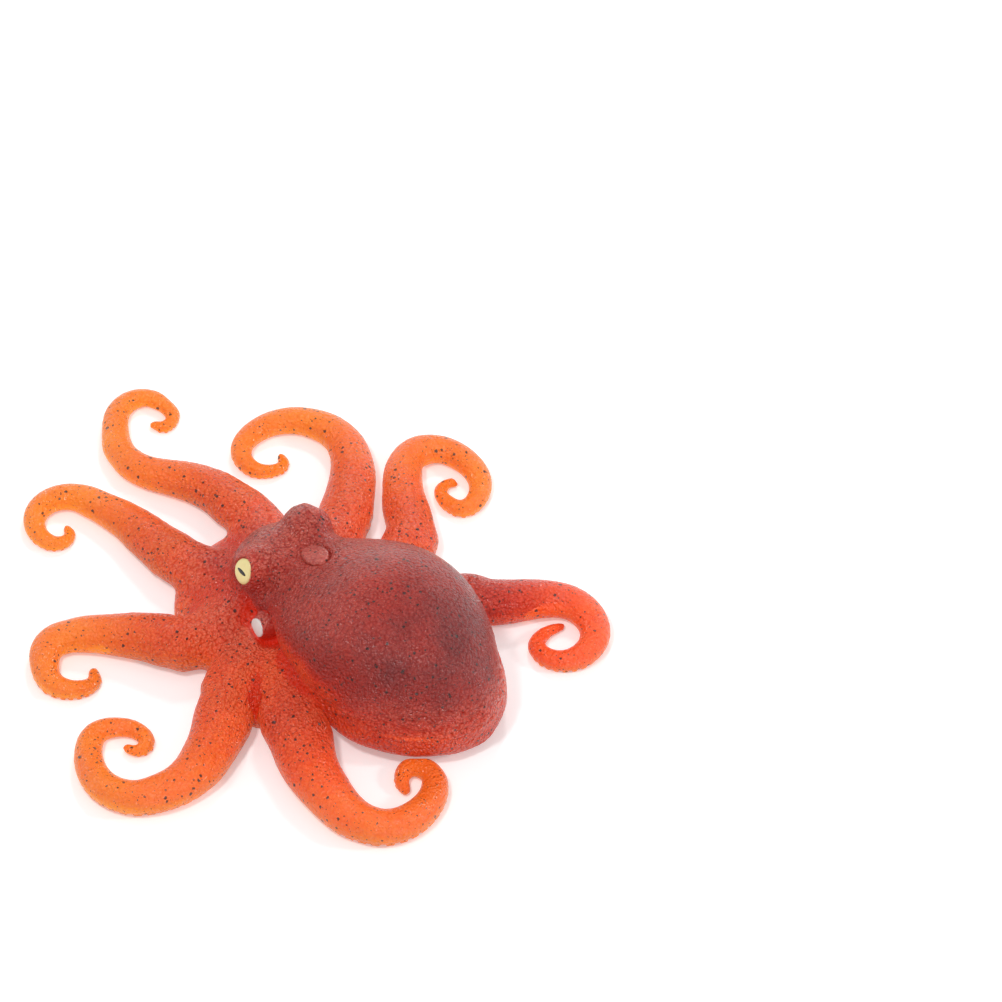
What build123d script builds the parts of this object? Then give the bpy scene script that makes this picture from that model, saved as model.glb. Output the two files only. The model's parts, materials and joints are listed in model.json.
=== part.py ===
"""Soft rubber octopus figurine, lying flat on its eight arms.

X runs to the animal's left, Y to the rear of its mantle and Z up.
The origin is the middle of the ring of arms, on the face that it rests on.
"""
import math
import os
from dataclasses import dataclass

from build123d import *

# Domed cross sections, as shares of a section's half width and height
keel_share = 0.42
waist_share = 0.42
brow_width_share = 0.72
brow_height_share = 0.82
arm_height_share = 1.45

# Arm taper: share of the route's length, share of the root's half width
taper_shares = [
    (0, 1), (0.1, 0.92), (0.2, 0.83), (0.32, 0.71), (0.44, 0.62), (0.56, 0.54),
    (0.68, 0.46), (0.79, 0.38), (0.88, 0.31), (0.95, 0.24), (1, 0.18),
]
# Places of an arm's cross sections along its route
station_shares = [
    0, 0.07, 0.14, 0.21, 0.28, 0.35, 0.42, 0.48, 0.54, 0.6, 0.65, 0.7,
    0.75, 0.79, 0.83, 0.87, 0.9, 0.93, 0.96, 0.98, 1,
]

# Space left between an arm's root and the ring, and beside it in its bay
flex_gap = 0.4
bay_clearance = 0.8
bay_length = 16.0
# Space left between a rear arm and the mantle that it lies against
mantle_clearance = 0.9

# Left arm 1, the front one
left_1_root_out = 31.9
left_1_half_width = 7.0
left_1_reach = 39.4
left_1_route_shares = [
    (0.2, 0), (0.46, -0.01), (0.68, 0.02), (0.87, 0.08), (0.965, 0.23), (0.92, 0.39),
    (0.79, 0.46), (0.67, 0.42), (0.67, 0.31), (0.74, 0.27),
]
# Left arm 2
left_2_root_out = 30.5
left_2_half_width = 8.0
left_2_reach = 35.4
left_2_route_shares = [
    (0.225, -0.02), (0.53, -0.01), (0.775, 0.035), (0.94, 0.155), (0.94, 0.345),
    (0.84, 0.5), (0.67, 0.51), (0.56, 0.4), (0.59, 0.29),
]
# Left arm 3
left_3_root_out = 36.6
left_3_half_width = 8.2
left_3_reach = 42.9
left_3_route_shares = [
    (0.24, 0.02), (0.47, 0.01), (0.68, -0.05), (0.81, -0.16), (0.895, -0.305), (0.87, -0.495),
    (0.77, -0.61), (0.635, -0.68), (0.44, -0.68), (0.36, -0.56), (0.37, -0.43),
    (0.45, -0.38), (0.5, -0.43), (0.49, -0.49),
]
# Left arm 4, the rear one
left_4_root_out = 42.1
left_4_half_width = 9.0
left_4_reach = 44.5
left_4_route_shares = [
    (0.17, -0.01), (0.34, -0.02), (0.585, 0.025), (0.775, 0.1), (0.9, 0.27), (0.865, 0.46),
    (0.7, 0.625), (0.535, 0.635), (0.475, 0.555), (0.55, 0.475), (0.64, 0.47),
]
# Right arm 1, the front one
right_1_root_out = 34.0
right_1_half_width = 6.8
right_1_reach = 48.2
right_1_route_shares = [
    (0.2, 0), (0.4, 0.06), (0.56, 0.13), (0.75, 0.125), (0.9, 0.015), (0.99, -0.135),
    (0.95, -0.27), (0.82, -0.3), (0.74, -0.26), (0.74, -0.18), (0.8, -0.17),
]
# Right arm 2
right_2_root_out = 32.5
right_2_half_width = 7.1
right_2_reach = 39.4
right_2_route_shares = [
    (0.27, 0), (0.54, 0.045), (0.74, 0.17), (0.82, 0.33), (0.83, 0.49), (0.74, 0.67),
    (0.53, 0.77), (0.4, 0.68), (0.4, 0.55), (0.48, 0.48), (0.55, 0.51),
]
# Right arm 3
right_3_root_out = 36.8
right_3_half_width = 7.0
right_3_reach = 36.2
right_3_route_shares = [
    (0.2, 0.03), (0.425, 0.11), (0.69, 0.17), (0.9, 0.15), (1, 0), (0.96, -0.19),
    (0.82, -0.345), (0.635, -0.385), (0.5, -0.3), (0.55, -0.17), (0.66, -0.11),
    (0.74, -0.15), (0.74, -0.2),
]
# Right arm 4, the rear one
right_4_root_out = 46.4
right_4_half_width = 7.3
right_4_reach = 34.9
right_4_route_shares = [
    (0.12, -0.03), (0.34, -0.035), (0.58, -0.02), (0.77, -0.07), (0.89, -0.21), (0.915, -0.4),
    (0.82, -0.55), (0.67, -0.6), (0.53, -0.53), (0.49, -0.39), (0.58, -0.28), (0.69, -0.23),
]

# Web between the arms
web_radius = 28.5
web_lip_radius = 28.0
web_lip_height = 2.5
web_knee_radius = 19.5
web_knee_height = 7.0
web_crown_radius = 10.5
web_crown_height = 15.0
# Shoulders that lead from the head to the arms
shoulder_inner_radius = 7.0
shoulder_inner_height = 12.5
shoulder_inner_share = 1.12
shoulder_station_shares = [0, 0.33, 0.66, 1]
shoulder_overrun = 2.0

# Mantle dome, from the ledge up
mantle_front = 3.0
mantle_length = 67.2
mantle_half_width = 25.0
mantle_top = 38.0
ledge_height = 9.0
layer_overrun = 1.5
dome_waist_share = 0.38
# Along the length, half width, height above the ledge, flat of the underside
dome_shares = [
    (0, 0.4, 0.62, 0.42), (0.075, 0.6, 0.72, 0.42), (0.18, 0.775, 0.815, 0.5),
    (0.31, 0.93, 0.93, 0.76), (0.45, 1, 1, 0.87), (0.57, 0.975, 0.985, 0.88),
    (0.69, 0.87, 0.915, 0.88), (0.8, 0.705, 0.78, 0.88), (0.91, 0.47, 0.58, 0.88),
    (0.965, 0.3, 0.41, 0.88), (0.99, 0.16, 0.31, 0.88),
]
dome_tip_share = 0.22

# Rim below the mantle
rim_front = 12.0
rim_length = 57.9
rim_half_width = 24.8
rim_waist_share = 0.56
rim_shelf_share = 0.91
rim_belly_share = 0.72
rim_cheek_share = 0.25
# Along the length, half width, flat of the underside, rise of the underside
rim_shares = [
    (0, 0.66, 0.6, 0), (0.15, 0.83, 0.6, 0), (0.31, 0.94, 0.6, 0), (0.45, 0.985, 0.6, 0),
    (0.56, 1, 0.58, 0), (0.67, 0.935, 0.54, 0), (0.795, 0.785, 0.46, 0),
    (0.885, 0.6, 0.4, 0.12), (0.94, 0.45, 0.35, 0.26), (0.972, 0.31, 0.3, 0.38),
    (0.99, 0.18, 0.3, 0.46),
]

# Head and the two swellings that carry the eyes
head_back = -1.0
head_height = 14.0
head_half_width = 13.5
head_half_length = 13.0
head_half_height = 13.5
head_seat_height = 8.0
turret_radius = 6.8
turret_out = 8.95
turret_back = -0.65
turret_height = 23.9

# Eyes: discs let into the swellings, each with a level slit
eye_half_width = 2.95
eye_half_height = 3.65
eye_depth = 1.6
eye_proud = 0.35
pupil_half_width = 2.0
pupil_half_height = 0.6
pupil_depth = 0.7
eye_turn = 12.0
eye_tilt = 22.0

# Siphon, a short funnel at the animal's left
siphon_out = 14.6
siphon_back = 7.0
siphon_height = 12.6
siphon_turn = -16.0
siphon_tilt = 11.6
siphon_root_length = 6.0
siphon_lip_length = 3.2
siphon_root_radius = 3.1
siphon_radius = 3.5
siphon_lip_radius = 2.75
siphon_bore_radius = 2.3
siphon_mouth_depth = 1.0
siphon_mouth_recess = 0.3

# Plug in the crown of the mantle, in a narrow groove
plug_back = 10.4
plug_half_width = 3.2
plug_half_length = 5.2
plug_turn = -17.0
plug_depth = 2.5
plug_slope = 23.0
plug_groove = 0.35


@dataclass
class Arm:
    """One arm: where its root stands on the ring, and its route past it."""

    name: str
    root_out: float
    half_width: float
    reach: float
    bearing: float
    heading: float
    route_shares: list

    def root(self):
        return self.root_out * ahead(self.bearing)

    def point(self, forward, leftward):
        along = forward * ahead(self.heading)
        across = leftward * ahead(self.heading + 90)
        return self.root() + self.reach * (along + across)

    def height(self):
        return arm_height_share * self.half_width


def ahead(heading):
    """The level unit vector along a heading in degrees from X."""
    turn = math.radians(heading)
    return Vector(math.cos(turn), math.sin(turn))


ARMS = [
    Arm("left_1", left_1_root_out, left_1_half_width, left_1_reach,
        -76, -94, left_1_route_shares),
    Arm("left_2", left_2_root_out, left_2_half_width, left_2_reach,
        -18, -60, left_2_route_shares),
    Arm("left_3", left_3_root_out, left_3_half_width, left_3_reach,
        19.6, 24, left_3_route_shares),
    Arm("left_4", left_4_root_out, left_4_half_width, left_4_reach,
        45.3, 60, left_4_route_shares),
    Arm("right_1", right_1_root_out, right_1_half_width, right_1_reach,
        -118, -91, right_1_route_shares),
    Arm("right_2", right_2_root_out, right_2_half_width, right_2_reach,
        -166, -147, right_2_route_shares),
    Arm("right_3", right_3_root_out, right_3_half_width, right_3_reach,
        162, 212, right_3_route_shares),
    Arm("right_4", right_4_root_out, right_4_half_width, right_4_reach,
        132.5, 137, right_4_route_shares),
]


def upright_plane(place, heading):
    """A plane that stands square to a heading, with its x to the left and its y up."""
    return Plane(origin=place, x_dir=ahead(heading + 90), z_dir=ahead(heading))


def domed_face(plane, half_width, height, keel=keel_share, waist=waist_share):
    """A flat bottom, two round sides and a round top."""
    foot = keel * half_width
    brow = brow_width_share * half_width
    brow_height = brow_height_share * height
    outline = Curve() + [
        Line((-foot, 0), (foot, 0)),
        ThreePointArc((foot, 0), (half_width, waist * height), (brow, brow_height)),
        ThreePointArc((brow, brow_height), (0, height), (-brow, brow_height)),
        ThreePointArc((-brow, brow_height), (-half_width, waist * height), (-foot, 0)),
    ]
    return plane * make_face(outline)


def share_at(table, along):
    """Read a table of (along, share) pairs between its points."""
    for (start, first), (end, second) in zip(table, table[1:]):
        if along <= end:
            return first + (second - first) * (along - start) / (end - start)
    return table[-1][1]


def arm_solid(arm):
    """A limb that tapers from its root to a round tip."""
    points = [arm.root()] + [arm.point(*place) for place in arm.route_shares]
    last = points[-1] - points[-2]
    route = Spline(*points, tangents=[ahead(arm.heading), last.normalized()])
    faces = []
    for along in station_shares:
        tangent = route.tangent_at(along)
        heading = math.degrees(math.atan2(tangent.Y, tangent.X))
        half_width = arm.half_width * share_at(taper_shares, along)
        plane = upright_plane(route.position_at(along), heading)
        faces.append(domed_face(plane, half_width, arm_height_share * half_width))
    tip_radius = arm_height_share * arm.half_width * taper_shares[-1][1] / 2
    end = points[-1]
    return loft(faces) + Pos(end.X, end.Y, tip_radius) * Sphere(tip_radius)


def shoulder(arm):
    """The part of the ring that leads from the head to an arm's root, and past it."""
    outward = arm.root().normalized()
    path = Spline(outward * shoulder_inner_radius, arm.root(),
                  tangents=[outward, ahead(arm.heading)])
    faces = []
    for along in shoulder_station_shares:
        tangent = path.tangent_at(along)
        heading = math.degrees(math.atan2(tangent.Y, tangent.X))
        height = shoulder_inner_height + along * (arm.height() - shoulder_inner_height)
        spread = shoulder_inner_share + along * (1 - shoulder_inner_share)
        plane = upright_plane(path.position_at(along), heading)
        faces.append(domed_face(plane, arm.half_width * spread, height))
    past = upright_plane(arm.root() + shoulder_overrun * ahead(arm.heading), arm.heading)
    faces.append(domed_face(past, arm.half_width, arm.height()))
    return loft(faces)


def bay(arm):
    """The space in front of the ring that an arm's root moves in."""
    seat = arm.root() - flex_gap * ahead(arm.heading)
    width = 2 * (arm.half_width + bay_clearance)
    block = Box(width, 3 * arm.height(), bay_length, align=(Align.CENTER, Align.CENTER, Align.MIN))
    return upright_plane(seat, arm.heading) * block


def web():
    """The low cone, in two slopes, that joins the arms."""
    corners = [
        (0, 0), (web_radius, 0), (web_lip_radius, web_lip_height),
        (web_knee_radius, web_knee_height), (web_crown_radius, web_crown_height),
        (0, web_crown_height), (0, 0),
    ]
    outline = Curve() + [Line(start, end) for start, end in zip(corners, corners[1:])]
    return revolve(Plane.XZ * make_face(outline), Axis.Z)


def arm_ring():
    """The web with its eight shoulders, and a clear bay for each arm."""
    shoulders = [shoulder(arm) for arm in ARMS]
    return shoulders[0].fuse(*shoulders[1:]) + web() - [bay(arm) for arm in ARMS]


def layer(bottom, top):
    """Everything of the mantle between two heights."""
    size = 3 * mantle_length
    return Pos(0, 0, bottom) * Box(size, size, top - bottom,
                                   align=(Align.CENTER, Align.CENTER, Align.MIN))


def mantle_dome(extra=0):
    """The upper swelling of the mantle, from the ledge up."""
    bottom = ledge_height - layer_overrun
    height = mantle_top - bottom
    faces = []
    for along, width, rise, flat in dome_shares:
        plane = upright_plane(Vector(0, mantle_front + along * mantle_length, bottom), 90)
        faces.append(domed_face(plane, width * mantle_half_width + extra, rise * height,
                                flat, dome_waist_share))
    rear = mantle_front + mantle_length + extra
    end = Vertex(0, rear, bottom + dome_tip_share * height)
    return loft(faces + [end]) & layer(ledge_height, 2 * mantle_top)


def rim_face(plane, half_width, flat, rise):
    """A flat bottom, round sides and a flat top, both past the layer that is kept."""
    foot = flat * half_width
    shelf = rim_shelf_share * half_width
    bottom = rise * ledge_height - layer_overrun
    middle = rim_waist_share * ledge_height
    top = ledge_height + layer_overrun
    belly = foot + rim_belly_share * (half_width - foot)
    cheek = half_width - rim_cheek_share * (half_width - shelf)
    low = (bottom + middle) / 2
    high = (middle + top) / 2
    outline = Curve() + [
        Line((-foot, bottom), (foot, bottom)),
        ThreePointArc((foot, bottom), (belly, low), (half_width, middle)),
        ThreePointArc((half_width, middle), (cheek, high), (shelf, top)),
        Line((shelf, top), (-shelf, top)),
        ThreePointArc((-shelf, top), (-cheek, high), (-half_width, middle)),
        ThreePointArc((-half_width, middle), (-belly, low), (-foot, bottom)),
    ]
    return plane * make_face(outline)


def mantle_rim(extra=0):
    """The belly of the mantle, with the rim that stands out below the dome."""
    faces = []
    for along, width, flat, rise in rim_shares:
        plane = upright_plane(Vector(0, rim_front + along * rim_length), 90)
        faces.append(rim_face(plane, width * rim_half_width + extra, flat, rise))
    end = Vertex(0, rim_front + rim_length + extra, rim_waist_share * ledge_height)
    return loft(faces + [end]) & layer(0, ledge_height)


def turret(side):
    """The swelling that carries one eye; side is 1 at the left and -1 at the right."""
    return Pos(side * turret_out, turret_back, turret_height) * Sphere(turret_radius)


def head():
    """The round head with a swelling for each eye."""
    skull = Pos(0, head_back, head_height) * scale(
        Sphere(1), by=(head_half_width, head_half_length, head_half_height))
    seat = Pos(0, head_back, head_seat_height) * Box(
        2 * head_half_width, 2 * head_half_length, 2 * head_half_height,
        align=(Align.CENTER, Align.CENTER, Align.MAX))
    return skull + turret(1) + turret(-1) - seat


def eye_plane(side):
    """The plane across one eye, at the middle of its swelling, with x level."""
    tilt = math.radians(eye_tilt)
    level = ahead(-eye_turn) * math.cos(tilt)
    out = Vector(side * level.X, level.Y, math.sin(tilt))
    across = Vector(0, 0, 1).cross(out).normalized()
    centre = Vector(side * turret_out, turret_back, turret_height)
    return Plane(origin=centre, x_dir=across, z_dir=out)


def eye_column(side, half_width, half_height, depth):
    """An oval column from below one eye's surface out past it."""
    start = turret_radius - depth
    oval = Pos(0, 0, start) * extrude(Ellipse(half_width, half_height), turret_radius)
    return eye_plane(side) * oval


def eye_cap(side):
    """The ball whose surface an eye disc shows, a little proud of its swelling."""
    return eye_plane(side) * Sphere(turret_radius + eye_proud)


def siphon_plane():
    """The plane at the siphon's widest, with z towards its mouth."""
    tilt = math.radians(siphon_tilt)
    level = ahead(siphon_turn) * math.cos(tilt)
    centre = Vector(siphon_out, siphon_back, siphon_height)
    return Plane(origin=centre, z_dir=Vector(level.X, level.Y, math.sin(tilt)))


def siphon():
    """A short funnel, swollen in the middle, with a shallow bore in its lip."""
    root = -siphon_root_length
    lip = siphon_lip_length
    floor = lip - siphon_mouth_depth
    bulge = (siphon_radius, 0)
    outline = Curve() + [
        Line((0, root), (siphon_root_radius, root)),
        ThreePointArc((siphon_root_radius, root), bulge, (siphon_lip_radius, lip)),
        Line((siphon_lip_radius, lip), (siphon_bore_radius, lip)),
        Line((siphon_bore_radius, lip), (siphon_bore_radius, floor)),
        Line((siphon_bore_radius, floor), (0, floor)),
        Line((0, floor), (0, root)),
    ]
    return siphon_plane() * revolve(Plane.XZ * make_face(outline), Axis.Z)


def siphon_mouth():
    """The pale disc in the siphon's bore."""
    floor = siphon_lip_length - siphon_mouth_depth
    disc = extrude(Circle(siphon_bore_radius), siphon_mouth_depth - siphon_mouth_recess)
    return siphon_plane() * (Pos(0, 0, floor) * disc)


def plug_column(half_width, half_length):
    """An oval column through the crown of the mantle."""
    slope = math.radians(plug_slope)
    out = Vector(0, -math.sin(slope), math.cos(slope))
    height = mantle_top - ledge_height
    rises = [(along, rise) for along, width, rise, flat in dome_shares]
    top = ledge_height + height * share_at(rises, (plug_back - mantle_front) / mantle_length)
    plane = Plane(origin=(0, plug_back, top), x_dir=(1, 0, 0), z_dir=out)
    oval = extrude(Ellipse(half_width, half_length), 3 * plug_depth)
    return plane * (Pos(0, 0, -plug_depth) * Rot(0, 0, plug_turn) * oval)


def trunk():
    """The pieces that carry the arms, each cut by the ones that it meets."""
    funnel = siphon()
    mouth_space = siphon_plane() * extrude(Circle(siphon_bore_radius), siphon_lip_length)
    whole_dome = mantle_dome()
    skull = head() - whole_dome - funnel
    dome = whole_dome - funnel - plug_column(plug_half_width + plug_groove,
                                             plug_half_length + plug_groove)
    whole_ring = arm_ring()
    ring = whole_ring - head() - whole_dome - funnel - mouth_space
    nodes = {
        "mantle_dome": dome,
        "mantle_rim": mantle_rim() - whole_ring,
        "crown_plug": whole_dome & plug_column(plug_half_width, plug_half_length),
        "arm_ring": ring,
        "siphon": funnel,
        "siphon_mouth": siphon_mouth(),
    }
    for side, name in ((1, "left"), (-1, "right")):
        pit = eye_column(side, eye_half_width, eye_half_height, eye_depth)
        slit = eye_column(side, pupil_half_width, pupil_half_height, pupil_depth)
        disc = pit & eye_cap(side)
        nodes[name + "_eye"] = disc - slit
        nodes[name + "_pupil"] = disc & slit
        skull -= pit
    nodes["head"] = skull
    return nodes


def arms():
    """The eight arms, with the rear two kept clear of the mantle."""
    rim_space = mantle_rim(mantle_clearance)
    dome_space = mantle_dome(mantle_clearance)
    nodes = {}
    for arm in ARMS:
        limb = arm_solid(arm)
        if arm.name.endswith("4"):
            limb = limb - rim_space - dome_space
        nodes["arm_" + arm.name] = limb
    return nodes


def main():
    os.makedirs("parts", exist_ok=True)
    for name, solid in {**trunk(), **arms()}.items():
        export_step(solid, f"parts/{name}.step")
        print(name, round(solid.volume, 2), solid.is_valid, len(solid.solids()))


main()
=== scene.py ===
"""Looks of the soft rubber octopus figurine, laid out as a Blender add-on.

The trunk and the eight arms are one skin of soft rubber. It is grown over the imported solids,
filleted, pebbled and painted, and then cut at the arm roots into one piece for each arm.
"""

import json
import math

import bmesh
import bpy
import numpy as np
from bpy.props import (
    FloatProperty, FloatVectorProperty, IntProperty, PointerProperty,
)
from bpy.types import Operator, Panel, PropertyGroup
from bpy.utils import register_class, unregister_class
from mathutils import Matrix, Vector, noise
from mathutils.bvhtree import BVHTree
from mathutils.geometry import interpolate_bezier
from mathutils.kdtree import KDTree

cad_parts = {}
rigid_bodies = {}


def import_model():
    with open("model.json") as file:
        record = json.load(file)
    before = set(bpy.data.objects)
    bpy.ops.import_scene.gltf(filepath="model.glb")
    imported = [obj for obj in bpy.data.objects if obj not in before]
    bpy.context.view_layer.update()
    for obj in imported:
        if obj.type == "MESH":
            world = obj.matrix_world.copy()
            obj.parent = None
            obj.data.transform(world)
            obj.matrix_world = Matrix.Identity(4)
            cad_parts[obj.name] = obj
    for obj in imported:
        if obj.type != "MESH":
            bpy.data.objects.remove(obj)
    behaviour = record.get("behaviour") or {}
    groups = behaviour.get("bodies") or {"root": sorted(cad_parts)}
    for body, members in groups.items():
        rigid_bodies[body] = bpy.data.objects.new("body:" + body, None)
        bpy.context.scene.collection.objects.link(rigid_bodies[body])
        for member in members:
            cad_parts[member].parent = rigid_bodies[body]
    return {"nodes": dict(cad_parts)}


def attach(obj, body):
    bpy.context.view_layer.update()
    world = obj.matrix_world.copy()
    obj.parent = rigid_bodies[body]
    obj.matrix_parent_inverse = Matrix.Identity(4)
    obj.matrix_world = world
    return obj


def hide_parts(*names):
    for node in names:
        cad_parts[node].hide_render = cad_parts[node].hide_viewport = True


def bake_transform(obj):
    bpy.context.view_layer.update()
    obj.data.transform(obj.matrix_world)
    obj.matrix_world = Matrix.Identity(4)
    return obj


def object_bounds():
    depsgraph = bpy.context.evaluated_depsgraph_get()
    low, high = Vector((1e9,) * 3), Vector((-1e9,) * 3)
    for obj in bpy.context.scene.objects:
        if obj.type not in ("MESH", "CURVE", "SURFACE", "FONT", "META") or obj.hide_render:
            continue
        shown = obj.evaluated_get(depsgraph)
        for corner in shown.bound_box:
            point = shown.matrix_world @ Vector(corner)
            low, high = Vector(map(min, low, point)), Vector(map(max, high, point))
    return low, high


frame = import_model()
cad_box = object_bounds()

bl_info = {
    "name": "Soft rubber octopus figurine",
    "version": (1, 0, 0),
    "blender": (4, 5, 0),
    "location": "View3D > Sidebar > Octopus",
    "description": "Grows the speckled rubber skin of an octopus figurine over its solids",
    "category": "Object",
}

mm = 0.001

# Arms: root distance, bearing, heading, half width and reach in millimetres and degrees,
# then the route past the root as shares of the reach
ARMS = {
    "left_1": (31.9, -76, -94, 7.0, 39.4, [
        (0.2, 0), (0.46, -0.01), (0.68, 0.02), (0.87, 0.08), (0.965, 0.23), (0.92, 0.39),
        (0.79, 0.46), (0.67, 0.42), (0.67, 0.31), (0.74, 0.27)]),
    "left_2": (30.5, -18, -60, 8.0, 35.4, [
        (0.225, -0.02), (0.53, -0.01), (0.775, 0.035), (0.94, 0.155), (0.94, 0.345),
        (0.84, 0.5), (0.67, 0.51), (0.56, 0.4), (0.59, 0.29)]),
    "left_3": (36.6, 19.6, 24, 8.2, 42.9, [
        (0.24, 0.02), (0.47, 0.01), (0.68, -0.05), (0.81, -0.16), (0.895, -0.305),
        (0.87, -0.495), (0.77, -0.61), (0.635, -0.68), (0.44, -0.68), (0.36, -0.56),
        (0.37, -0.43), (0.45, -0.38), (0.5, -0.43), (0.49, -0.49)]),
    "left_4": (42.1, 45.3, 60, 9.0, 44.5, [
        (0.17, -0.01), (0.34, -0.02), (0.585, 0.025), (0.775, 0.1), (0.9, 0.27),
        (0.865, 0.46), (0.7, 0.625), (0.535, 0.635), (0.475, 0.555), (0.55, 0.475),
        (0.64, 0.47)]),
    "right_1": (34.0, -118, -91, 6.8, 48.2, [
        (0.2, 0), (0.4, 0.06), (0.56, 0.13), (0.75, 0.125), (0.9, 0.015), (0.99, -0.135),
        (0.95, -0.27), (0.82, -0.3), (0.74, -0.26), (0.74, -0.18), (0.8, -0.17)]),
    "right_2": (32.5, -166, -147, 7.1, 39.4, [
        (0.27, 0), (0.54, 0.045), (0.74, 0.17), (0.82, 0.33), (0.83, 0.49), (0.74, 0.67),
        (0.53, 0.77), (0.4, 0.68), (0.4, 0.55), (0.48, 0.48), (0.55, 0.51)]),
    "right_3": (36.8, 162, 212, 7.0, 36.2, [
        (0.2, 0.03), (0.425, 0.11), (0.69, 0.17), (0.9, 0.15), (1, 0), (0.96, -0.19),
        (0.82, -0.345), (0.635, -0.385), (0.5, -0.3), (0.55, -0.17), (0.66, -0.11),
        (0.74, -0.15), (0.74, -0.2)]),
    "right_4": (46.4, 132.5, 137, 7.3, 34.9, [
        (0.12, -0.03), (0.34, -0.035), (0.58, -0.02), (0.77, -0.07), (0.89, -0.21),
        (0.915, -0.4), (0.82, -0.55), (0.67, -0.6), (0.53, -0.53), (0.49, -0.39),
        (0.58, -0.28), (0.69, -0.23)]),
}
# Arm taper: share of the route's length, share of the root's half width
taper_shares = [
    (0, 1), (0.1, 0.92), (0.2, 0.83), (0.32, 0.71), (0.44, 0.62), (0.56, 0.54),
    (0.68, 0.46), (0.79, 0.38), (0.88, 0.31), (0.95, 0.24), (1, 0.18),
]
arm_height_share = 1.45
# How much redder, or yellower below zero, each arm is painted; right_4's large shift is painted
# shade, as that arm lies in the mantle's shadow
tone_and_shade_shifts = {
    "left_1": -0.06, "left_2": -0.02, "left_3": 0.0, "left_4": 0.11,
    "right_1": -0.06, "right_2": -0.03, "right_3": 0.0, "right_4": 0.3,
}
# Where each arm's skin is cut from the trunk's: the distance of the cut past the arm's root
seam_out = 2.0 * mm
far_seams = {"left_2": 5.0 * mm, "left_3": 5.6 * mm, "left_4": 3.6 * mm}

# Lengths under which points count as one, or as lying on a cutting plane
same_place = 0.001 * mm
on_plane = 0.0001 * mm
up_axis = Vector((0, 0, 1))

# Places on the head and the mantle, and the heading and tilt of what faces out of them
head_middle = Vector((0, -1, 14)) * mm
brow_middle = Vector((0, -18, 12)) * mm
turret_middle = Vector((8.95, -0.65, 23.9)) * mm
turret_radius = 6.8 * mm
eye_half_width = 2.95 * mm
eye_half_height = 3.65 * mm
eye_facing = (-12, 22)
siphon_middle = Vector((14.6, 7.0, 12.6)) * mm
siphon_facing = (-16, 11.6)
plug_middle = Vector((0, 10.4, 30.5)) * mm
plug_slope = 23
plug_turn = -17
trunk_top = Vector((0, 45, 38)) * mm

# Half sections in millimetres of the web's filler, and of a sucker of unit radius
web_profile = [
    (0, 0.1), (28.4, 0.1), (28.6, 1.6), (27.6, 3.4), (19.3, 8.0), (11.5, 14), (0, 15),
]
cup_profile = [(0.0, 0.12), (0.34, 0.16), (0.6, 0.42), (0.8, 0.5), (0.98, 0.3), (1.0, -0.25)]
# Balls that fill the neck: middle and radii in millimetres
neck_balls = [
    ((0, 5.5, 15), (14.0, 9.5, 12.8)),
    ((-9.0, 5.5, 18.0), (6.2, 6.4, 7.0)), ((-6.4, 4.4, 20.6), (6.0, 6.2, 8.5)),
    ((9.0, 5.5, 18.0), (6.2, 6.4, 7.0)), ((6.4, 4.4, 20.6), (6.0, 6.2, 8.5)),
]
# Balls that fill the wedge between left_3 and left_4: distance from the ring's middle,
# bearing, height and radii
wedge_balls = [(34.8, 32, 2.4, (6.4, 4.6, 5.4)), (31.5, 31, 4.0, (8.5, 5.4, 6.3))]
wedge_turn = 32
# Outline of the mantle from above: place along Y and half width in millimetres
mantle_outline = [
    (-20, 0), (0, 0), (3, 10), (8, 15.5), (15, 20), (24, 23.6), (33, 25.4), (41, 25.2),
    (50, 23), (57, 19), (64, 13.5), (68, 9), (71, 2), (90, 0),
]
furrow_ends = ((20.5, 10.5), (34.0, 21.0))
furrow_width = 1.3 * mm
furrow_depth = 0.3 * mm

# Tones of the paint: 0 is thin glowing rubber, 0.25 orange, 0.5 coral, 0.75 red, 1 maroon
ring_tone = 0.62
arm_root_tone = 0.48
# Tone of the painted shade on the brow
brow_shade_tone = 0.85
head_tone = 0.88
mantle_foot_tone = 0.66
siphon_tone = 0.9

# Lamps: place behind the object, to its right and above it as the camera sees it, and
# size, in metres, then power in watts
lamps = {
    "key": (-0.3, -0.2, 0.8, 0.13, 2.4),
    "back": (0.5, 0.1, 0.5, 0.11, 1.1),
    "side": (-0.1, 0.7, 0.35, 0.1, 1.6),
}


class SkinSettings(PropertyGroup):
    """Sizes of the skin's mesh, fillets and grain."""

    mesh_size: FloatProperty(
        name="Mesh size", description="Edge length of the skin's mesh",
        default=0.5 * mm, unit="LENGTH", precision=5)
    fillet_passes: IntProperty(
        name="Fillet passes", description="Passes that round the folds between pieces",
        default=190, min=0)
    pebble_size: FloatProperty(
        name="Pebble size", description="Distance between the pebbles of the grain",
        default=1.9 * mm, unit="LENGTH", precision=5)
    pebble_height: FloatProperty(
        name="Pebble height", description="Height of the pebbles that are modelled",
        default=0.1 * mm, unit="LENGTH", precision=6)
    sole_hollow: FloatProperty(
        name="Sole hollow", description="How far the arms' underside stands off the floor",
        default=0.45 * mm, unit="LENGTH", precision=5)


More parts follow.
